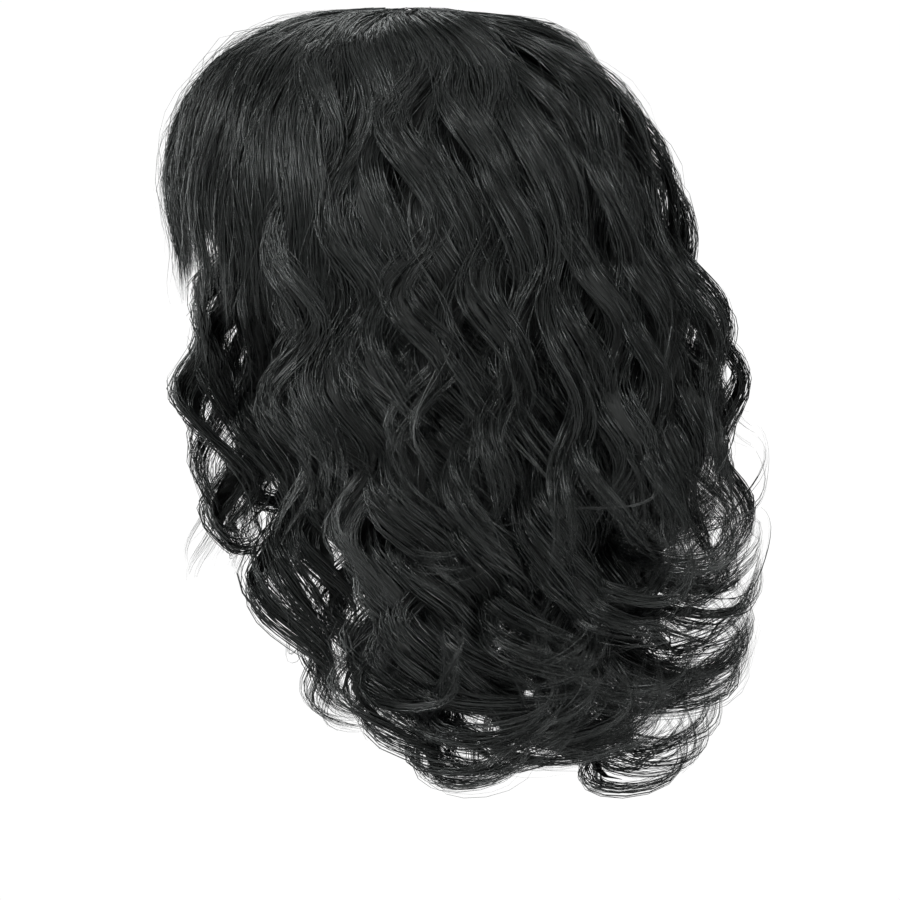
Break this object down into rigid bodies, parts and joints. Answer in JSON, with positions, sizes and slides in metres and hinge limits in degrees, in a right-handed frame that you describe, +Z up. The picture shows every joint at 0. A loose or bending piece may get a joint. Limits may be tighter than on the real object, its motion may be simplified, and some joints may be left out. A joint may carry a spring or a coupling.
{
  "type": "curly wig",
  "caption": "Black, wavy, shoulder-length wig with a full fringe, in the shape it has when worn: hair sections hang from a thin, open-bottomed elastic cap.",
  "frame": {"origin": "inside of the cap's top, where the wig sits on the top of the head", "axes": "+Z up, away from the head; the face looks along -Y; +X is the wearer's left"},
  "size_m": [0.3125, 0.3126, 0.4002],
  "materials": {
    "cap_net": "matte black stretch net with woven wefts",
    "hair": "glossy black synthetic fibre"
  },
  "bodies": {
    "root": {"wig_cap": "cap_net", "fringe": "hair", "crown_hair": "hair", "left_side_hair": "hair", "right_side_hair": "hair", "back_hair": "hair", "nape_hair": "hair"}
  },
  "joints": []
}
